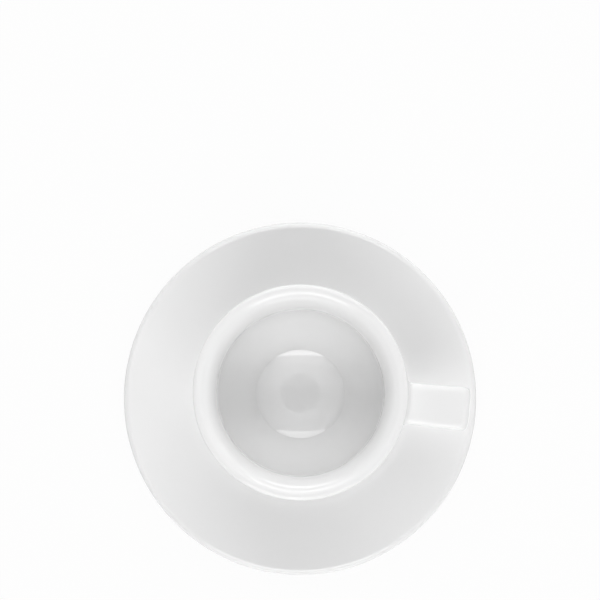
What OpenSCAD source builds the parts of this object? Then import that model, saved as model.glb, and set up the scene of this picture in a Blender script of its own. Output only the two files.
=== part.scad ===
// Espresso cup with saucer in white glazed porcelain.
// The origin is the middle of the saucer's foot, on the table, and the handle points along +X.

/* [Saucer] */
// Diameter of the saucer
saucer_d = 120; // [110:1:140]
// Height of the flat well above the table
well_z = 8; // [7:0.1:11]
// Diameter of the flat well
well_d = 66; // [56:1:80]
// Slope of the flange where it leaves the well, in degrees
flange_slope = 2.5; // [1:0.1:6]
// Radius of the flange's hollow curve
flange_curve_r = 500; // [200:10:900]
// Width of the straight band between the hollow curve and the edge
flange_band_w = 3.5; // [2.5:0.1:6]
// Thickness of the edge
edge_t = 4; // [3.2:0.1:5]
// Rounding of the edge on top
edge_top_r = 2; // [1:0.1:2.5]
// Rounding of the edge underneath
edge_under_r = 1.5; // [1:0.1:2]
// Depth of the recess that the cup stands in
recess_depth = 0.9; // [0.4:0.1:1.5]
// Thickness of the saucer under the recess
saucer_t = 3.2; // [2.4:0.1:4.5]
// Outer diameter of the saucer's foot ring
saucer_foot_d = 68; // [56:1:80]
// Width of the saucer's foot ring
saucer_foot_w = 3; // [2:0.1:5]
// Height of the foot ring's outer wall
saucer_foot_h = 3.6; // [2.5:0.1:5]

/* [Cup] */
// Diameter of the cup at its rim, before the lip is rounded
cup_d = 70.3; // [66:0.1:80]
// Height of the cup by itself
cup_h = 52; // [46:0.5:62]
// Thickness of the wall at the lip
lip_t = 7.9; // [6:0.1:9]
// Rounding of the lip on the inside
lip_in_r = 6.3; // [3:0.1:7]
// Rounding of the lip on the outside
lip_out_r = 1.2; // [0.8:0.1:2.4]
// Thickness of the wall at its bend
wall_t = 4.6; // [3.6:0.1:5.5]
// Diameter of the inner floor, up to its crease
floor_d = 30; // [24:0.5:36]
// Height of the floor's crease above the cup's foot
floor_z = 9; // [8:0.1:11]
// Depth of the floor's dish
floor_sag = 2.6; // [1:0.1:3.4]
// Thickness of the floor at its middle
floor_t = 3.2; // [2.4:0.1:4]
// Inner diameter where the cone would meet the upper wall
bend_d = 54; // [50:0.2:56]
// Height above the cup's foot where the cone would meet the upper wall
bend_z = 24.5; // [21:0.5:28]
// Radius of the bend on the inside
bend_in_r = 2; // [1:0.5:8]
// Radius of the bend on the outside
bend_out_r = 16; // [8:0.5:20]
// Outer diameter of the cup's foot ring
cup_foot_d = 40; // [36:0.5:44]
// Width of the cup's foot ring
cup_foot_w = 3; // [2:0.1:4]
// Fillet between the foot ring and the cone above it
cup_cove_r = 2.5; // [1:0.1:4]

/* [Handle] */
// Reach of the handle beyond the rim
handle_reach = 20.75; // [17:0.05:25]
// Drop from the rim to the top of the upper corner
handle_drop = 5.5; // [4:0.5:8]
// Radius of the upper arm's hollow sweep from the cup to its corner
handle_sweep_r = 150; // [120:5:600]
// Height between the middles of the two arms
handle_h = 21.2; // [18:0.2:25]
// Thickness of the strap
handle_t = 4.6; // [3.6:0.1:5.4]
// Width of the strap at its root under the rim
handle_root_w = 13.6; // [9:0.1:16]
// Width of the strap at its upper corner
handle_w = 14.1; // [9:0.1:17]
// Width of the strap at its lower root
handle_low_w = 12.4; // [8:0.1:16]
// Outer radius of the upper corner
handle_top_r = 2.2; // [1.5:0.1:4]
// Inner radius of the upper corner
handle_top_in_r = 2.5; // [1.5:0.1:4]
// Outer radius of the lower bend
handle_low_r = 9; // [6.5:0.1:10]
// Lean of the outer leg from upright, in degrees
handle_lean = 15; // [5:1:25]
// Radius of the fillet where the strap grows out of the cup
root_fillet = 2; // [1:0.1:3]
// Squareness of the strap's section, where 2 is an ellipse
strap_power = 3; // [2.2:0.1:4]

/* [Fit] */
// Distance that the cup stands off the middle of the saucer
cup_shift = 1.4; // [0:0.1:3]
// Clearance between the cup's foot and the recess where they come closest
recess_clearance = 0.8; // [0.4:0.1:2]
// Thickness of the slip joint between the handle and the cup
slip_t = 0.05; // [0.04:0.01:0.2]

/* [Edges] */
// Rounding of the foot rings' edges
foot_edge_r = 0.6; // [0.3:0.1:0.9]
// Fillets where the foot rings grow out of the undersides
foot_fillet = 1.2; // [0.5:0.1:1.6]
// Rounding of the recess's rim
recess_edge_r = 0.3; // [0.1:0.05:0.35]

/* [Hidden] */
$fn = 96;
glaze_white = [0.95, 0.95, 0.94];

// Share of a side that the fillets at its two ends may take up
fillet_share = 0.96;
// Share of a chord by which the cap on it reaches back past it, to overlap what it joins or cuts
cap_lap = 0.1;
// Facets of a full turn along the outlines' arcs
arc_sides = 360;

// Saucer levels
seat_z = well_z - recess_depth;
saucer_under_z = seat_z - saucer_t;
recess_r = cup_foot_d / 2 + cup_shift + recess_clearance;
curve_end_r = saucer_d / 2 - flange_band_w;
curve_end_slope = asin(sin(flange_slope) + (curve_end_r - well_d / 2) / flange_curve_r);
curve_rise = flange_curve_r * (cos(flange_slope) - cos(curve_end_slope));
edge_z = well_z + curve_rise + flange_band_w * tan(curve_end_slope);
flange_curve_mid = [
    well_d / 2 - flange_curve_r * sin(flange_slope),
    well_z + flange_curve_r * cos(flange_slope)
];

// Inside of the cup, from the floor's crease up
crease = [floor_d / 2, floor_z];
inner_bend = [bend_d / 2, bend_z];
inner_rim = [cup_d / 2 - lip_t, cup_h];
floor_low_z = floor_z - floor_sag;
floor_curve_r = (pow(floor_d / 2, 2) + pow(floor_sag, 2)) / (2 * floor_sag);
floor_curve_mid = [0, floor_low_z + floor_curve_r];
cup_under_z = floor_low_z - floor_t;

// Outside of the cup, a wall thickness away from the inside
cone_way = way(crease, inner_bend);
cone_out = right(cone_way);
upper_out = right(way(inner_bend, inner_rim));
outer_bend = inner_bend + wall_t * (cone_out + upper_out) / (1 + cone_out * upper_out);
outer_rim = [cup_d / 2, cup_h];
foot_top = [
    cup_foot_d / 2,
    outer_bend[1] - (outer_bend[0] - cup_foot_d / 2) * cone_way[1] / cone_way[0]
];
outer_arc = fillet_ends(foot_top, outer_bend, outer_rim, bend_out_r);
outer_arc_mid = fillet_mid(foot_top, outer_bend, outer_rim, bend_out_r);

// Path of the handle, in the upright plane through the cup's axis.
// The upper arm sweeps about sweep_mid, and its corner has an outer and an inner arc that touch it.
half_t = handle_t / 2;
leg_out = [cos(handle_lean), -sin(handle_lean)];
corner_x = cup_d / 2 + handle_reach - handle_top_r;
sweep_mid = [corner_x, cup_h - handle_drop + handle_sweep_r];
sweep_in_r = handle_sweep_r + handle_t;
sweep_angle = asin((corner_x - cup_d / 2 - root_fillet) / handle_sweep_r);
top_arm_z = sweep_mid[1] - handle_sweep_r * cos(sweep_angle) - half_t;
low_arm_z = top_arm_z - handle_h;
corner_out_mid = [corner_x, cup_h - handle_drop - handle_top_r];
corner_in_mid = on_circle(
    corner_out_mid + (handle_top_r - handle_t - handle_top_in_r) * leg_out,
    right(leg_out), sweep_mid, sweep_in_r + handle_top_in_r
);
leg_top = corner_out_mid + (handle_top_r - handle_low_r) * leg_out;
low_turn_z = low_arm_z - half_t + handle_low_r;
low_turn_mid = leg_top + (leg_top[1] - low_turn_z) / cos(handle_lean) * right(leg_out);

// Counts of the handle's facets
strap_sides = 36;
cap_steps = 3;
fillet_steps = 4;
sweep_steps = 4;
corner_steps = 8;
arm_steps = 3;
low_turn_steps = 8;

// Unit heading from a to b, and the unit vector to the right of a heading
function way(a, b) = (b - a) / norm(b - a);
function right(v) = [v[1], -v[0]];

// The last point on a circle about mid along the line through p
function on_circle(p, heading, mid, r) =
    let (ahead = (mid - p) * heading, aside = cross(heading, mid - p))
    p + (ahead + sqrt(r * r - aside * aside)) * heading;

// Angle turned at p on the way from a to b, positive to the left
function turn(a, p, b) = atan2(cross(way(a, p), way(p, b)), way(a, p) * way(p, b));

// The two points where a fillet leaves its sides, and the middle of its arc
function fillet_ends(a, p, b, r) =
    let (back = r * tan(abs(turn(a, p, b)) / 2))
    [p - back * way(a, p), p + back * way(p, b)];
function fillet_mid(a, p, b, r) =
    fillet_ends(a, p, b, r)[0] - sign(turn(a, p, b)) * r * right(way(a, p));

// What lies between the chord from p to q and the arc about mid, with a lap past the chord
module arc_cap(p, q, mid) {
    along = q - p;
    out = way(mid, (p + q) / 2) * norm(along);
    intersection() {
        translate(mid) circle(r = norm(p - mid), $fn = arc_sides);
        polygon([p, p + cap_lap * (along - out), q - cap_lap * (along + out), q, q + out, p + out]);
    }
}

// A closed outline of [x, z, radius] corners, run with the material on its left.
// Where two fillets don't fit on the side between them, both shrink until they do.
module rounded_outline(corners) {
    last = len(corners) - 1;
    at = [for (c = corners) [c[0], c[1]]];
    before = concat([at[last]], [for (i = [0:last - 1]) at[i]]);
    after = concat([for (i = [1:last]) at[i]], [at[0]]);
    bend = [for (i = [0:last]) turn(before[i], at[i], after[i])];
    setback = [for (i = [0:last]) corners[i][2] * tan(abs(bend[i]) / 2)];
    room = [
        for (i = [0:last])
            fillet_share * norm(after[i] - at[i]) / (setback[i] + setback[(i + 1) % len(at)])
    ];
    radius = [for (i = [0:last]) corners[i][2] * min(1, room[i], room[(i + last) % len(at)])];
    ends = [for (i = [0:last]) fillet_ends(before[i], at[i], after[i], radius[i])];
    module caps(side) {
        for (i = [0:last])
            if (radius[i] > 0 && sign(bend[i]) == side)
                arc_cap(ends[i][0], ends[i][1], fillet_mid(before[i], at[i], after[i], radius[i]));
    }
    difference() {
        union() {
            polygon([for (i = [0:last]) each radius[i] > 0 ? ends[i] : [at[i]]]);
            caps(1);
        }
        caps(-1);
    }
}

module saucer() {
    foot_r = saucer_foot_d / 2;
    curve_end = [curve_end_r, well_z + curve_rise];
    color(glaze_white) rotate_extrude() difference() {
        rounded_outline([
            [0, saucer_under_z, 0],
            [foot_r - saucer_foot_w, saucer_under_z, foot_fillet],
            [foot_r - saucer_foot_w, 0, foot_edge_r],
            [foot_r, 0, foot_edge_r],
            [foot_r, saucer_foot_h, foot_fillet],
            [saucer_d / 2, edge_z - edge_t, edge_under_r],
            [saucer_d / 2, edge_z, edge_top_r],
            [curve_end[0], curve_end[1], 0],
            [well_d / 2, well_z, 0],
            [recess_r, well_z, recess_edge_r],
            [recess_r, seat_z, recess_edge_r],
            [0, seat_z, 0]
        ]);
        arc_cap(curve_end, [well_d / 2, well_z], flange_curve_mid);
    }
}

// Places what is built about the cup's axis, from its foot up, on the saucer
module on_seat() {
    translate([0, cup_shift, seat_z]) children();
}

module cup_body() {
    foot_r = cup_foot_d / 2;
    color(glaze_white) on_seat() rotate_extrude() difference() {
        rounded_outline([
            [0, cup_under_z, 0],
            [foot_r - cup_foot_w, cup_under_z, foot_fillet],
            [foot_r - cup_foot_w, 0, foot_edge_r],
            [foot_r, 0, foot_edge_r],
            [foot_top[0], foot_top[1], cup_cove_r],
            [outer_bend[0], outer_bend[1], bend_out_r],
            [outer_rim[0], outer_rim[1], lip_out_r],
            [inner_rim[0], inner_rim[1], lip_in_r],
            [inner_bend[0], inner_bend[1], bend_in_r],
            [crease[0], crease[1], 0],
            [0, crease[1], 0]
        ]);
        intersection() {
            translate(floor_curve_mid) circle(r = floor_curve_r, $fn = arc_sides);
            polygon([
                [0, cup_under_z], [crease[0], cup_under_z], crease,
                crease + cap_lap * crease[0] * [-1, 1], [0, crease[1] + cap_lap * crease[0]]
            ]);
        }
    }
}

// Radius of the cup's outside between its foot and its lip, and its X at a given Y
function cup_outer_r(z) =
    z < outer_arc[0][1] ? outer_bend[0] + (z - outer_bend[1]) * cone_way[0] / cone_way[1] :
    z < outer_arc[1][1] ? outer_arc_mid[0] + sqrt(pow(bend_out_r, 2) - pow(z - outer_arc_mid[1], 2)) :
    outer_bend[0] + (z - outer_bend[1]) * (outer_rim[0] - outer_bend[0]) / (outer_rim[1] - outer_bend[1]);
function cup_outer_x(y, z) = sqrt(pow(cup_outer_r(z), 2) - y * y) + slip_t;

// The strap's section as [across, outward] points
function bow(v) = sign(v) * pow(abs(v), 2 / strap_power);
function strap_section(w, grow = 0) = [
    for (i = [0:strap_sides - 1])
        let (a = 360 * i / strap_sides)
        [bow(cos(a)) * (w / 2 + grow), bow(sin(a)) * (half_t + grow)]
];

// A ring that follows the cup's side, a distance off it, about an arm whose outer face looks up or down
function root_ring(arm_z, up, w, off, grow, share = 1) = [
    for (p = strap_section(w, grow))
        let (y = share * p[0], z = arm_z + up * share * p[1])
        [cup_outer_x(y, z) + off, y, z]
];
function fillet_ring(arm_z, up, w, a) =
    root_ring(arm_z, up, w, root_fillet * (1 - cos(a)), root_fillet * (1 - sin(a)));

// A ring whose inner and outer faces lie at two points of the path's plane,
// and a share of the way from a to b
function strap_ring(inner, outer, w) = [
    for (p = strap_section(w))
        let (at = between(inner, outer, 1 / 2 + p[1] / handle_t))
        [at[0], p[0], at[1]]
];
function between(a, b, share) = a + (b - a) * share;

// Points at a distance and an angle from mid, and the angle at which p lies from it
function around(mid, r, a) = mid + r * [cos(a), sin(a)];
function angle_at(mid, p) = atan2(p[1] - mid[1], p[0] - mid[0]);

// The rings of one root, from the middle of its seat out to where the arm starts
function root_rings(arm_z, up, w) = concat(
    [for (i = [1:cap_steps - 1]) root_ring(arm_z, up, w, 0, root_fillet, i / cap_steps)],
    [for (i = [0:fillet_steps]) fillet_ring(arm_z, up, w, 90 * i / fillet_steps)]
);
function reversed(list) = [for (i = [len(list) - 1:-1:0]) list[i]];
function bridge(a, b, steps) = [for (i = [1:steps - 1]) between(a, b, i / steps)];

// Rings round a bend whose inner and outer arcs are given as [mid, radius, first angle, last angle]
function turn_rings(inner, outer, w0, w1, steps) = [
    for (i = [0:steps])
        let (share = i / steps)
        strap_ring(
            around(inner[0], inner[1], between(inner[2], inner[3], share)),
            around(outer[0], outer[1], between(outer[2], outer[3], share)),
            between(w0, w1, share)
        )
];

module cup_handle() {
    top_root = root_rings(top_arm_z, 1, handle_root_w);
    low_root = reversed(root_rings(low_arm_z, -1, handle_low_w));
    leg_w = between(handle_w, handle_low_w, 1 / 2);
    in_end = angle_at(sweep_mid, corner_in_mid);
    sweep = turn_rings(
        [sweep_mid, sweep_in_r, -90 - sweep_angle, in_end],
        [sweep_mid, handle_sweep_r, -90 - sweep_angle, -90],
        handle_root_w, handle_w, sweep_steps
    );
    corner = turn_rings(
        [corner_in_mid, handle_top_in_r, in_end + 180, -handle_lean],
        [corner_out_mid, handle_top_r, 90, -handle_lean],
        handle_w, handle_w, corner_steps
    );
    low_turn = turn_rings(
        [low_turn_mid, handle_low_r - handle_t, -handle_lean, -90],
        [low_turn_mid, handle_low_r, -handle_lean, -90],
        leg_w, handle_low_w, low_turn_steps
    );
    rings = concat(
        top_root,
        sweep,
        [for (i = [1:corner_steps]) corner[i]],
        bridge(corner[corner_steps], low_turn[0], arm_steps),
        low_turn,
        bridge(low_turn[low_turn_steps], low_root[0], arm_steps),
        low_root
    );
    first = len(rings) * strap_sides;
    points = concat(
        [for (ring = rings) each ring],
        [[cup_outer_x(0, top_arm_z), 0, top_arm_z], [cup_outer_x(0, low_arm_z), 0, low_arm_z]]
    );
    sides = [
        for (k = [0:len(rings) - 2], i = [0:strap_sides - 1])
            let (j = (i + 1) % strap_sides, a = k * strap_sides, b = a + strap_sides)
            each [[a + i, a + j, b + j], [a + i, b + j, b + i]]
    ];
    caps = [
        for (i = [0:strap_sides - 1])
            let (j = (i + 1) % strap_sides, last = first - strap_sides)
            each [[first, j, i], [first + 1, last + i, last + j]]
    ];
    color(glaze_white) on_seat() polyhedron(points = points, faces = concat(sides, caps));
}

saucer();
cup_body();
cup_handle();
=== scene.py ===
"""Espresso cup with saucer in white glazed porcelain, seen from straight above.

All sizes are in metres.
"""
import math

import bpy
from mathutils import Euler, Matrix, Vector


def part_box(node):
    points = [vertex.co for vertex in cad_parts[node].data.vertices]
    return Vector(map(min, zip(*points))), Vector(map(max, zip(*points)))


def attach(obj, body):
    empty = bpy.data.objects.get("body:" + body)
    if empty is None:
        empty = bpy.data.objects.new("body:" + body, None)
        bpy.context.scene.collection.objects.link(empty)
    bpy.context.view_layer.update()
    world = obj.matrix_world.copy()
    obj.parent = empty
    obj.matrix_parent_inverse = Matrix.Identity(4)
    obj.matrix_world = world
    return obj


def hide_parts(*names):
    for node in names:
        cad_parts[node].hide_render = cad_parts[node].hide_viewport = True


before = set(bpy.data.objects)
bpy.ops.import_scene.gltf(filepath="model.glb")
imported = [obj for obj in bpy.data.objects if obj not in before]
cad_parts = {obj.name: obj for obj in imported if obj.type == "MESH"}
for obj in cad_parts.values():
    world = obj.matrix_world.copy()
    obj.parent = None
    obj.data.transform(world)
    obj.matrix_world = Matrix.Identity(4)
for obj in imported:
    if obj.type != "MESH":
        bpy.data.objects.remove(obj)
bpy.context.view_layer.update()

MM = 0.001

# Places that the frame gives
cup_low, cup_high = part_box("cup_body")
CUP_X = (cup_low[0] + cup_high[0]) / 2
CUP_Y = (cup_low[1] + cup_high[1]) / 2
SEAT_Z = cup_low[2]
CUP_H = cup_high[2] - cup_low[2]

# Saucer sizes
SAUCER_R = 60 * MM
WELL_Z = SEAT_Z + 0.9 * MM
WELL_R = 33 * MM
FLANGE_SLOPE = math.radians(2.5)
FLANGE_CURVE_R = 500 * MM
FLANGE_BAND_W = 3.5 * MM
EDGE_T = 4 * MM
EDGE_TOP_R = 2 * MM
EDGE_UNDER_R = 1.5 * MM
SAUCER_UNDER_Z = SEAT_Z - 3.2 * MM
SAUCER_FOOT_R = 34 * MM
SAUCER_FOOT_W = 3 * MM
SAUCER_FOOT_H = 3.6 * MM
RECESS_R = 22.2 * MM

# Cup sizes, above the cup's own foot
CUP_R = 35.15 * MM
LIP_T = 7.9 * MM
LIP_IN_W = 6.3 * MM
LIP_IN_H = 11 * MM
LIP_OUT_R = 1.2 * MM
WALL_T = 4.6 * MM
FLOOR_R = 15 * MM
FLOOR_Z = 9 * MM
FLOOR_SAG = 2.6 * MM
FLOOR_T = 3.2 * MM
BEND_R_AT = 27 * MM
BEND_Z = 24.5 * MM
BEND_IN_R = 16 * MM
BEND_OUT_R = 16 * MM
CUP_FOOT_R = 20 * MM
CUP_FOOT_W = 3 * MM
CUP_COVE_R = 2.5 * MM

# Handle sizes
HANDLE_REACH = 20.15 * MM
HANDLE_DROP = 5.5 * MM
HANDLE_SWEEP_R = 150 * MM
HANDLE_H = 21.2 * MM
HANDLE_T = 4.6 * MM
HANDLE_ROOT_W = 13.6 * MM
HANDLE_W = 14.1 * MM
HANDLE_LOW_W = 12.4 * MM
HANDLE_TOP_R = 2.2 * MM
HANDLE_TOP_IN_R = 2.5 * MM
HANDLE_LOW_R = 9 * MM
HANDLE_LEAN = math.radians(15)
ROOT_FILLET = 2 * MM
ROOT_SUNK = 0.3 * MM
STRAP_POWER = 5

# Small roundings and run-outs, softened by the glaze
FOOT_EDGE_R = 0.6 * MM
FOOT_FILLET = 1.2 * MM
RECESS_EDGE_R = 0.3 * MM
CREASE_R = 0.5 * MM
CONE_RUN_OUT = 2.4 * MM
WELL_BLEND_R = 60 * MM

# Fineness of the meshes
TURN_STEPS = 240
ARC_STEP = math.radians(5)
LONGEST_STEP = 0.8 * MM
FILLET_SHARE = 0.96
STRAP_SIDES = 80
ON_AXIS_R = 1e-7

# Looks of the glaze and of the bare clay under the foot rings
GLAZE_WHITE = (0.88, 0.88, 0.88, 1)
GLAZE_FAINT = (0.86, 0.86, 0.86, 1)
GLAZE_IOR = 1.5
GLAZE_ROUGHNESS = (0.03, 0.07)
WAVE_DEPTH = 0.015 * MM
PEEL_DEPTH = 0.002 * MM
CLAY_PALE = (0.70, 0.69, 0.67, 1)
CLAY_DARK = (0.58, 0.57, 0.55, 1)
CLAY_ROUGHNESS = 0.75
CLAY_H = 0.54 * MM

# Stage
STAGE_SIZE = 6.0
STAGE_GREY = (0.65, 0.65, 0.65, 1)
STAGE_WHITE = (1, 1, 1, 1)
STAGE_WHITE_SHARE = 0.96
LAMP_DISTANCE = 1.3
SKY_TOP = 2.0

# Where the photograph shows the saucer, in its own pixels
FRAME_PX = 600
SAUCER_PX = (300.07, 398.24)
SAUCER_R_PX = 176.3

# Camera, and how far the handle is turned in the picture
HANDLE_TURN = math.radians(5.7)
CAMERA_HEIGHT = 1.054
CAMERA_SOUTH = 11.3 * MM
SIGHT_Z = 9 * MM
SENSOR_MM = 36.0
NEAR_CLIP = 10 * MM
picture_right = Vector((math.cos(HANDLE_TURN), math.sin(HANDLE_TURN), 0))
picture_up = Vector((-math.sin(HANDLE_TURN), math.cos(HANDLE_TURN), 0))


# Outlines, as (radius, height) points


def heading(a, b):
    """Unit vector from a to b."""
    return (b - a).normalized()


def right_of(v):
    """The unit vector to the right of a heading."""
    return Vector((v.y, -v.x))


def turn_at(a, p, b):
    """Angle turned at p on the way from a to b, positive to the left."""
    before, after = heading(a, p), heading(p, b)
    return math.atan2(before.cross(after), before.dot(after))


def fillet_points(a, p, b, radius):
    """The arc that rounds the corner p between a and b."""
    bend = turn_at(a, p, b)
    side = math.copysign(1, bend)
    start = p - heading(a, p) * radius * math.tan(abs(bend) / 2)
    out = right_of(heading(a, p)) * side
    mid = start - out * radius
    steps = max(2, math.ceil(abs(bend) / ARC_STEP))
    return [mid + Matrix.Rotation(bend * i / steps, 2) @ (out * radius) for i in range(steps + 1)]


def rounded_outline(corners):
    """Points along an open outline of (x, z, radius) corners: fillets that fit, no long steps."""
    at = [Vector(c[:2]) for c in corners]
    last = len(at) - 1
    setback = [0.0] * len(at)
    for i in range(1, last):
        setback[i] = corners[i][2] * math.tan(abs(turn_at(at[i - 1], at[i], at[i + 1])) / 2)
    points = [at[0]]
    for i in range(1, last):
        fit = 1.0
        for j in (i - 1, i + 1):
            wanted = setback[i] + setback[j]
            if wanted > 0:
                fit = min(fit, FILLET_SHARE * (at[i] - at[j]).length / wanted)
        radius = corners[i][2] * fit
        points += fillet_points(at[i - 1], at[i], at[i + 1], radius) if radius > 0 else [at[i]]
    points.append(at[last])
    fine = [points[0]]
    for a, b in zip(points, points[1:]):
        steps = max(1, math.ceil((b - a).length / LONGEST_STEP))
        fine += [a.lerp(b, i / steps) for i in range(1, steps + 1)]
    return fine


def plain_corners(points):
    """Points of a curve as corners with no rounding."""
    return [(p.x, p.y, 0) for p in points]


def saucer_outline():
    """From the axis underneath, out round the edge and back to the axis on top."""
    curve_end_r = SAUCER_R - FLANGE_BAND_W
    end_slope = math.asin(math.sin(FLANGE_SLOPE) + (curve_end_r - WELL_R) / FLANGE_CURVE_R)
    curve_mid = Vector((
        WELL_R - FLANGE_CURVE_R * math.sin(FLANGE_SLOPE),
        WELL_Z + FLANGE_CURVE_R * math.cos(FLANGE_SLOPE),
    ))
    steps = 24
    slopes = [end_slope + (FLANGE_SLOPE - end_slope) * i / steps for i in range(steps)]
    curve = [curve_mid + FLANGE_CURVE_R * Vector((math.sin(s), -math.cos(s))) for s in slopes]
    edge_z = curve[0].y + FLANGE_BAND_W * math.tan(end_slope)
    foot_in_r = SAUCER_FOOT_R - SAUCER_FOOT_W
    return rounded_outline([
        (0, SAUCER_UNDER_Z, 0),
        (foot_in_r, SAUCER_UNDER_Z, FOOT_FILLET),
        (foot_in_r, 0, FOOT_EDGE_R),
        (SAUCER_FOOT_R, 0, FOOT_EDGE_R),
        (SAUCER_FOOT_R, SAUCER_FOOT_H, FOOT_FILLET),
        (SAUCER_R, edge_z - EDGE_T, EDGE_UNDER_R),
        (SAUCER_R, edge_z, EDGE_TOP_R),
        *plain_corners(curve),
        (WELL_R, WELL_Z, WELL_BLEND_R),
        (RECESS_R, WELL_Z, RECESS_EDGE_R),
        (RECESS_R, SEAT_Z, RECESS_EDGE_R),
        (0, SEAT_Z, 0),
    ])


def cup_corners():
    """Corners of the cup's outline, the outer ones a wall thickness away from the inside."""
    crease = Vector((FLOOR_R, FLOOR_Z))
    bend = Vector((BEND_R_AT, BEND_Z))
    inner_rim = Vector((CUP_R - LIP_T, CUP_H))
    cone = heading(crease, bend)
    cone_out = right_of(cone)
    upper_out = right_of(heading(bend, inner_rim))
    outer_bend = bend + WALL_T * (cone_out + upper_out) / (1 + cone_out.dot(upper_out))
    foot_top = Vector((CUP_FOOT_R, outer_bend.y - (outer_bend.x - CUP_FOOT_R) * cone.y / cone.x))
    inner_bend = bend + CONE_RUN_OUT * cone
    return foot_top, outer_bend, Vector((CUP_R, CUP_H)), inner_rim, inner_bend, crease


def lip_curve(inner_rim, steps=16):
    """The lip's inner side, a quarter of an ellipse from its top down to the wall."""
    mid = Vector((inner_rim.x + LIP_IN_W, CUP_H - LIP_IN_H))
    angles = [math.pi / 2 * (1 - i / steps) for i in range(steps + 1)]
    return [mid + Vector((-LIP_IN_W * math.cos(a), LIP_IN_H * math.sin(a))) for a in angles]


def floor_curve(steps=16):
    """The dished floor, an arc from beside the crease in to the axis."""
    curve_r = (FLOOR_R ** 2 + FLOOR_SAG ** 2) / (2 * FLOOR_SAG)
    low_z = FLOOR_Z - FLOOR_SAG
    reach = math.asin(FLOOR_R / curve_r)
    slopes = [reach * (1 - i / steps) for i in range(1, steps + 1)]
    return [
        Vector((curve_r * math.sin(s), low_z + curve_r * (1 - math.cos(s))))
        for s in slopes
    ]


def cup_outline():
    """From the axis underneath, out and up round the lip, and down the inside to the axis."""
    foot_top, outer_bend, outer_rim, inner_rim, inner_bend, crease = cup_corners()
    under_z = FLOOR_Z - FLOOR_SAG - FLOOR_T
    foot_in_r = CUP_FOOT_R - CUP_FOOT_W
    return rounded_outline([
        (0, under_z, 0),
        (foot_in_r, under_z, FOOT_FILLET),
        (foot_in_r, 0, FOOT_EDGE_R),
        (CUP_FOOT_R, 0, FOOT_EDGE_R),
        (*foot_top, CUP_COVE_R),
        (*outer_bend, BEND_OUT_R),
        (*outer_rim, LIP_OUT_R),
        *plain_corners(lip_curve(inner_rim)),
        (*inner_bend, BEND_IN_R),
        (*crease, CREASE_R),
        *plain_corners(floor_curve()),
    ])


# Meshes


def new_piece(name, verts, faces, bare):
    """A smooth mesh object with the share of bare, unglazed clay at each of its points."""
    mesh = bpy.data.meshes.new(name)
    mesh.from_pydata(verts, [], faces)
    mesh.polygons.foreach_set("use_smooth", [True] * len(mesh.polygons))
    layer = mesh.attributes.new("bare", "FLOAT", "POINT")
    layer.data.foreach_set("value", bare)
    mesh.update()
    piece = bpy.data.objects.new(name, mesh)
    bpy.context.collection.objects.link(piece)
    return piece


def foot_bareness(radius, height, foot_r, foot_w):
    """1 on the flat of a foot ring, 0 where the glaze starts."""
    on_ring = foot_r - foot_w - FOOT_EDGE_R < radius < foot_r + FOOT_EDGE_R
    return max(0.0, 1 - height / CLAY_H) if on_ring else 0.0


def revolved_piece(name, outline, axis, foot_r, foot_w):
    """Turns an outline that starts and ends on the axis into a closed mesh about axis."""
    verts, bare, rings = [], [], []
    for p in outline:
        count = TURN_STEPS if p.x > ON_AXIS_R else 1
        rings.append(range(len(verts), len(verts) + count))
        for i in range(count):
            a = 2 * math.pi * i / TURN_STEPS
            verts.append(axis + Vector((p.x * math.cos(a), p.x * math.sin(a), p.y)))
            bare.append(foot_bareness(p.x, p.y, foot_r, foot_w))
    faces = []
    for low, high in zip(rings, rings[1:]):
        for i in range(TURN_STEPS):
            j = (i + 1) % TURN_STEPS
            if len(low) == 1:
                faces.append((low[0], high[j], high[i]))
            elif len(high) == 1:
                faces.append((low[i], low[j], high[0]))
            else:
                faces.append((low[i], low[j], high[j], high[i]))
    return new_piece(name, verts, faces, bare)


def outer_radius_of(outline):
    """The cup's outer radius as a function of height above its foot, from its foot to its rim."""
    rim = max(range(len(outline)), key=lambda i: outline[i].x)
    outside = [p for p in outline[:rim + 1] if p.x >= CUP_FOOT_R - FOOT_EDGE_R]

    def radius(z):
        for a, b in zip(outside, outside[1:]):
            if a.y <= z <= b.y and b.y > a.y:
                return a.x + (b.x - a.x) * (z - a.y) / (b.y - a.y)
        raise ValueError(f"no outer wall at height {z}")

    return radius


def last_on_circle(p, way, mid, radius):
    """Where the line through p along way leaves a circle."""
    ahead, aside = (mid - p).dot(way), way.cross(mid - p)
    return p + (ahead + math.sqrt(radius ** 2 - aside ** 2)) * way


def arc_point(mid, radius, start, end, share):
    """The point a share of the way along an arc."""
    a = start + (end - start) * share
    return mid + radius * Vector((math.cos(a), math.sin(a)))


def angle_to(mid, p):
    """The angle at which p lies from mid."""
    return math.atan2(p.y - mid.y, p.x - mid.x)


def strap_section(width, grow=0.0):
    """The strap's section as (across, outward) points."""
    def bow(v):
        return math.copysign(abs(v) ** (2 / STRAP_POWER), v)

    angles = [2 * math.pi * i / STRAP_SIDES for i in range(STRAP_SIDES)]
    half_w, half_t = width / 2 + grow, HANDLE_T / 2 + grow
    return [(bow(math.cos(a)) * half_w, bow(math.sin(a)) * half_t) for a in angles]


def root_ring(outer_radius, arm_z, up, width, off, grow):
    """A ring that follows the cup's wall at a distance, with its section grown all round."""
    ring = []
    for across, outward in strap_section(width, grow):
        z = arm_z + up * outward
        ring.append(Vector((math.sqrt(outer_radius(z) ** 2 - across ** 2) + off, across, z)))
    return ring


def strap_root(outer_radius, arm_z, up, width, steps=14):
    """Rings from inside the cup's wall out along the fillet of one root."""
    rings = [root_ring(outer_radius, arm_z, up, width, -ROOT_SUNK, ROOT_FILLET)]
    for i in range(steps + 1):
        a = math.pi / 2 * i / steps
        off = ROOT_FILLET * (1 - math.cos(a))
        grow = ROOT_FILLET * (1 - math.sin(a))
        rings.append(root_ring(outer_radius, arm_z, up, width, off, grow))
    return rings


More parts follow.
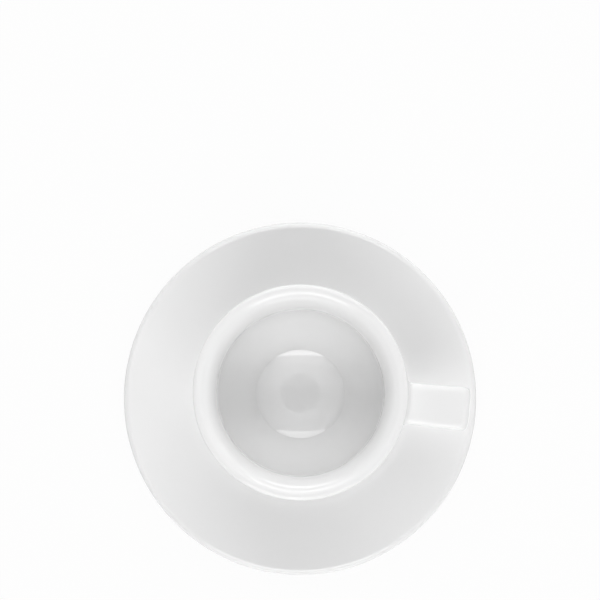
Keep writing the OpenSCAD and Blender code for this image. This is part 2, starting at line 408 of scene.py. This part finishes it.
def strap_turn(inner, outer, first_w, last_w, steps=24):
    """Rings between an inner and an outer arc, each given as its mid, radius, start and end."""
    rings = []
    for i in range(steps + 1):
        share = i / steps
        low, high = arc_point(*inner, share), arc_point(*outer, share)
        ring = []
        for across, outward in strap_section(first_w + (last_w - first_w) * share):
            at = low.lerp(high, 0.5 + outward / HANDLE_T)
            ring.append(Vector((at.x, across, at.y)))
        rings.append(ring)
    return rings


def strap_bridge(a, b, steps=10):
    """The rings on straight lines between two rings."""
    return [[p.lerp(q, i / steps) for p, q in zip(a, b)] for i in range(1, steps)]


def handle_rings(outer_radius):
    """Rings of points along the strap, from its upper root round to its lower one."""
    half_t = HANDLE_T / 2
    leg_out = Vector((math.cos(HANDLE_LEAN), -math.sin(HANDLE_LEAN)))
    corner_x = CUP_R + HANDLE_REACH - HANDLE_TOP_R
    sweep_mid = Vector((corner_x, CUP_H - HANDLE_DROP + HANDLE_SWEEP_R))
    sweep_in_r = HANDLE_SWEEP_R + HANDLE_T
    sweep_angle = math.asin((corner_x - CUP_R - ROOT_FILLET) / HANDLE_SWEEP_R)
    top_z = sweep_mid.y - HANDLE_SWEEP_R * math.cos(sweep_angle) - half_t
    low_z = top_z - HANDLE_H
    corner_out = Vector((corner_x, CUP_H - HANDLE_DROP - HANDLE_TOP_R))
    corner_in = last_on_circle(
        corner_out + (HANDLE_TOP_R - HANDLE_T - HANDLE_TOP_IN_R) * leg_out,
        right_of(leg_out), sweep_mid, sweep_in_r + HANDLE_TOP_IN_R,
    )
    leg_top = corner_out + (HANDLE_TOP_R - HANDLE_LOW_R) * leg_out
    low_turn_z = low_z - half_t + HANDLE_LOW_R
    low_mid = leg_top + (leg_top.y - low_turn_z) / math.cos(HANDLE_LEAN) * right_of(leg_out)
    leg_w = (HANDLE_W + HANDLE_LOW_W) / 2
    up = math.pi / 2
    down = -up
    in_end = angle_to(sweep_mid, corner_in)

    top_root = strap_root(outer_radius, top_z, 1, HANDLE_ROOT_W)
    sweep = strap_turn(
        (sweep_mid, sweep_in_r, down - sweep_angle, in_end),
        (sweep_mid, HANDLE_SWEEP_R, down - sweep_angle, down),
        HANDLE_ROOT_W, HANDLE_W,
    )
    corner = strap_turn(
        (corner_in, HANDLE_TOP_IN_R, in_end + math.pi, -HANDLE_LEAN),
        (corner_out, HANDLE_TOP_R, up, -HANDLE_LEAN),
        HANDLE_W, HANDLE_W,
    )
    low_bend = strap_turn(
        (low_mid, HANDLE_LOW_R - HANDLE_T, -HANDLE_LEAN, down),
        (low_mid, HANDLE_LOW_R, -HANDLE_LEAN, down),
        leg_w, HANDLE_LOW_W,
    )
    low_root = strap_root(outer_radius, low_z, -1, HANDLE_LOW_W)[::-1]
    return (
        top_root + sweep + corner[1:]
        + strap_bridge(corner[-1], low_bend[0]) + low_bend
        + strap_bridge(low_bend[-1], low_root[0]) + low_root
    )


def lofted_piece(name, rings, axis):
    """A closed tube through rings of points, each end closed by one face inside the wall."""
    sides = len(rings[0])
    verts = [axis + p for ring in rings for p in ring]
    faces = []
    for k in range(len(rings) - 1):
        for i in range(sides):
            j = (i + 1) % sides
            a, b = k * sides, (k + 1) * sides
            faces.append((a + i, b + i, b + j, a + j))
    faces.append(tuple(range(sides)))
    faces.append(tuple(reversed(range(len(verts) - sides, len(verts)))))
    return new_piece(name, verts, faces, [0.0] * len(verts))


# Materials


def add_node(tree, kind, **inputs):
    """A shader node with its unlinked inputs set, by name with _ for a space."""
    node = tree.nodes.new(kind)
    for name, value in inputs.items():
        node.inputs[name.replace("_", " ")].default_value = value
    return node


def set_input(tree, socket, value):
    """Links an input to a socket, or sets it to a value."""
    if isinstance(value, bpy.types.NodeSocket):
        tree.links.new(value, socket)
    else:
        socket.default_value = value


def calculate(tree, operation, a, b):
    """The result of an operation on two numbers, each a socket or a value."""
    node = tree.nodes.new("ShaderNodeMath")
    node.operation = operation
    set_input(tree, node.inputs[0], a)
    set_input(tree, node.inputs[1], b)
    return node.outputs["Value"]


def mix_colours(tree, factor, a, b):
    """Mixes two colours, each a socket or a value, by a factor socket."""
    node = tree.nodes.new("ShaderNodeMix")
    node.data_type = "RGBA"
    tree.links.new(factor, node.inputs["Factor"])
    set_input(tree, node.inputs["A"], a)
    set_input(tree, node.inputs["B"], b)
    return node.outputs["Result"]


def seen_directly(tree):
    """1 for camera, glossy and transmission rays, else 0."""
    path = tree.nodes.new("ShaderNodeLightPath")
    total = path.outputs["Is Camera Ray"]
    for name in ("Is Glossy Ray", "Is Transmission Ray"):
        total = calculate(tree, "MAXIMUM", total, path.outputs[name])
    return total


def glaze_material(name):
    """Clear gloss over white clay: faint clouding, slow waves, fine peel and bare foot rings."""
    material = bpy.data.materials.new(name)
    material.use_nodes = True
    tree = material.node_tree
    shader = tree.nodes["Principled BSDF"]
    shader.inputs["IOR"].default_value = GLAZE_IOR
    clay = tree.nodes.new("ShaderNodeAttribute")
    clay.attribute_name = "bare"
    bare = clay.outputs["Fac"]

    cloud = add_node(tree, "ShaderNodeTexNoise", Scale=45.0, Detail=3.0, Roughness=0.5)
    grain = add_node(tree, "ShaderNodeTexNoise", Scale=2200.0, Detail=2.0)
    waves = add_node(tree, "ShaderNodeTexNoise", Scale=70.0, Detail=1.0)
    peel = add_node(tree, "ShaderNodeTexNoise", Scale=420.0, Detail=1.0)
    place = tree.nodes.new("ShaderNodeTexCoord").outputs["Object"]
    for noise in (cloud, grain, waves, peel):
        tree.links.new(place, noise.inputs["Vector"])

    glazed = mix_colours(tree, cloud.outputs["Fac"], GLAZE_WHITE, GLAZE_FAINT)
    biscuit = mix_colours(tree, grain.outputs["Fac"], CLAY_PALE, CLAY_DARK)
    tree.links.new(mix_colours(tree, bare, glazed, biscuit), shader.inputs["Base Color"])

    clearest, dullest = GLAZE_ROUGHNESS
    gloss = add_node(tree, "ShaderNodeMapRange", To_Min=clearest, To_Max=dullest)
    tree.links.new(cloud.outputs["Fac"], gloss.inputs["Value"])
    roughness = add_node(tree, "ShaderNodeMix", B=CLAY_ROUGHNESS)
    tree.links.new(bare, roughness.inputs["Factor"])
    tree.links.new(gloss.outputs["Result"], roughness.inputs["A"])
    tree.links.new(roughness.outputs["Result"], shader.inputs["Roughness"])

    wave_bump = add_node(tree, "ShaderNodeBump", Strength=1.0, Distance=WAVE_DEPTH)
    peel_bump = add_node(tree, "ShaderNodeBump", Strength=1.0, Distance=PEEL_DEPTH)
    tree.links.new(waves.outputs["Fac"], wave_bump.inputs["Height"])
    tree.links.new(peel.outputs["Fac"], peel_bump.inputs["Height"])
    tree.links.new(wave_bump.outputs["Normal"], peel_bump.inputs["Normal"])
    tree.links.new(peel_bump.outputs["Normal"], shader.inputs["Normal"])
    return material


def floor_material():
    """Pale floor, white to the camera and in reflections, with part of the shadow kept."""
    material = bpy.data.materials.new("pale_floor")
    material.use_nodes = True
    tree = material.node_tree
    tree.nodes.clear()
    matte = add_node(tree, "ShaderNodeBsdfDiffuse", Color=STAGE_GREY)
    white = add_node(tree, "ShaderNodeEmission", Color=STAGE_WHITE, Strength=1.0)
    mix = tree.nodes.new("ShaderNodeMixShader")
    share = calculate(tree, "MULTIPLY", seen_directly(tree), STAGE_WHITE_SHARE)
    tree.links.new(share, mix.inputs[0])
    tree.links.new(matte.outputs["BSDF"], mix.inputs[1])
    tree.links.new(white.outputs["Emission"], mix.inputs[2])
    out = tree.nodes.new("ShaderNodeOutputMaterial")
    tree.links.new(mix.outputs["Shader"], out.inputs["Surface"])
    return material


# Stage, lights and camera


def floor_piece():
    """A wide level floor, on which the saucer's foot stands."""
    half = STAGE_SIZE / 2
    corners = [(-half, -half, 0), (half, -half, 0), (half, half, 0), (-half, half, 0)]
    mesh = bpy.data.meshes.new("floor")
    mesh.from_pydata(corners, [], [(0, 1, 2, 3)])
    mesh.materials.append(floor_material())
    piece = bpy.data.objects.new("floor", mesh)
    bpy.context.collection.objects.link(piece)
    return piece


def add_camera():
    """A camera almost straight above, with the saucer and handle where the photograph has them."""
    target = Vector((0, 0, SIGHT_Z))
    place = -picture_up * CAMERA_SOUTH + Vector((0, 0, CAMERA_HEIGHT))
    focal_px = SAUCER_R_PX * (CAMERA_HEIGHT - SIGHT_Z) / SAUCER_R
    data = bpy.data.cameras.new("camera")
    data.sensor_width = SENSOR_MM
    data.lens = SENSOR_MM * focal_px / FRAME_PX
    data.clip_start = NEAR_CLIP
    camera = bpy.data.objects.new("camera", data)
    bpy.context.collection.objects.link(camera)
    back = (place - target).normalized()
    right = (picture_right - back * picture_right.dot(back)).normalized()
    up = back.cross(right)
    aimed = Matrix((right, up, back)).transposed()
    pitch = math.atan2(SAUCER_PX[1] - FRAME_PX / 2, focal_px)
    yaw = math.atan2(SAUCER_PX[0] - FRAME_PX / 2, focal_px)
    turned = aimed @ Euler((pitch, yaw, 0)).to_matrix()
    camera.matrix_world = Matrix.Translation(place) @ turned.to_4x4()
    bpy.context.scene.camera = camera


def add_soft_box(name, bearing, zenith, width, depth, radiance):
    """A rectangular lamp that faces the cup, at a bearing in degrees from the picture's right."""
    data = bpy.data.lights.new(name, "AREA")
    data.shape = "RECTANGLE"
    data.size = width
    data.size_y = depth
    data.energy = math.pi * width * depth * radiance
    lamp = bpy.data.objects.new(name, data)
    lamp.visible_camera = False
    bpy.context.collection.objects.link(lamp)
    turn, tilt = math.radians(bearing), math.radians(zenith)
    level = picture_right * math.cos(turn) + picture_up * math.sin(turn)
    place = LAMP_DISTANCE * (level * math.sin(tilt) + Vector((0, 0, math.cos(tilt))))
    lamp.location = place
    lamp.rotation_euler = (-place).to_track_quat("-Z", "Y").to_euler()


def sky_ramp(tree, height, bands):
    """The sky's level by height, from (degrees from overhead, level) stops of at most SKY_TOP."""
    ramp = tree.nodes.new("ShaderNodeValToRGB")
    ramp.color_ramp.interpolation = "EASE"
    tree.links.new(height, ramp.inputs["Fac"])
    stops = ramp.color_ramp.elements
    while len(stops) < len(bands):
        stops.new(0.5)
    for stop, (zenith, level) in zip(stops, sorted(bands, reverse=True)):
        stop.position = math.cos(math.radians(zenith))
        stop.color = (level / SKY_TOP, level / SKY_TOP, level / SKY_TOP, 1)
    return ramp.outputs["Color"]


def set_world(lit, seen):
    """A sky alike all round: one set of stops lights the cup, the other is seen and reflected."""
    world = bpy.data.worlds.new("studio")
    world.use_nodes = True
    tree = world.node_tree
    way = tree.nodes.new("ShaderNodeTexCoord").outputs["Generated"]
    split = tree.nodes.new("ShaderNodeSeparateXYZ")
    tree.links.new(way, split.inputs["Vector"])
    lit_sky = sky_ramp(tree, split.outputs["Z"], lit)
    seen_sky = sky_ramp(tree, split.outputs["Z"], seen)
    back = tree.nodes["Background"]
    back.inputs["Strength"].default_value = SKY_TOP
    levels = mix_colours(tree, seen_directly(tree), lit_sky, seen_sky)
    tree.links.new(levels, back.inputs["Color"])
    bpy.context.scene.world = world


# Pieces

saucer_axis = Vector((0, 0, 0))
saucer = revolved_piece("saucer_glazed", saucer_outline(), saucer_axis, SAUCER_FOOT_R, SAUCER_FOOT_W)
cup_axis = Vector((CUP_X, CUP_Y, SEAT_Z))
cup_profile = cup_outline()
cup = revolved_piece("cup_glazed", cup_profile, cup_axis, CUP_FOOT_R, CUP_FOOT_W)
handle = lofted_piece("handle_glazed", handle_rings(outer_radius_of(cup_profile)), cup_axis)

glaze = glaze_material("white_glaze")
for piece, node, body in (
    (saucer, "saucer", "saucer"),
    (cup, "cup_body", "cup"),
    (handle, "cup_handle", "cup"),
):
    piece.data.materials.append(glaze)
    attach(piece, body)
    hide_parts(node)

floor = floor_piece()

add_camera()
add_soft_box("north_high", bearing=90, zenith=36, width=0.9, depth=0.18, radiance=3.9)
add_soft_box("north_wide", bearing=90, zenith=46, width=1.2, depth=0.25, radiance=2.5)
add_soft_box("north_low", bearing=90, zenith=78, width=1.0, depth=0.4, radiance=2.8)
add_soft_box("south_top", bearing=270, zenith=28, width=0.8, depth=0.18, radiance=0.9)
add_soft_box("south_high", bearing=270, zenith=36, width=0.9, depth=0.18, radiance=5.2)
add_soft_box("south_wide", bearing=270, zenith=46, width=1.2, depth=0.25, radiance=3.2)
add_soft_box("south_low", bearing=270, zenith=78, width=1.0, depth=0.4, radiance=0.8)
add_soft_box("south_strip", bearing=270, zenith=87, width=1.2, depth=0.12, radiance=3.4)
add_soft_box("northeast_high", bearing=40, zenith=50, width=0.8, depth=0.25, radiance=1.0)
add_soft_box("southeast_high", bearing=320, zenith=50, width=0.8, depth=0.25, radiance=0.5)
add_soft_box("northeast_low", bearing=45, zenith=66, width=0.8, depth=0.3, radiance=0.6)
add_soft_box("east_low", bearing=0, zenith=66, width=0.8, depth=0.3, radiance=0.5)
add_soft_box("west_low", bearing=180, zenith=66, width=0.8, depth=0.3, radiance=0.4)

# From overhead down: dark disc, bright ring, dark band, and a rim that lights less than it shows
upper_sky = [(0, 0.0), (16.6, 0.0), (17.2, 1.7), (24, 1.05), (34, 1.05), (40, 0.02), (58, 0.02)]
lit_rim = [(65, 0.65), (90, 0.65)]
seen_rim = [(65, 1.0), (90, 1.0)]
set_world(upper_sky + lit_rim, upper_sky + seen_rim)
bpy.context.scene.view_settings.view_transform = "Standard"
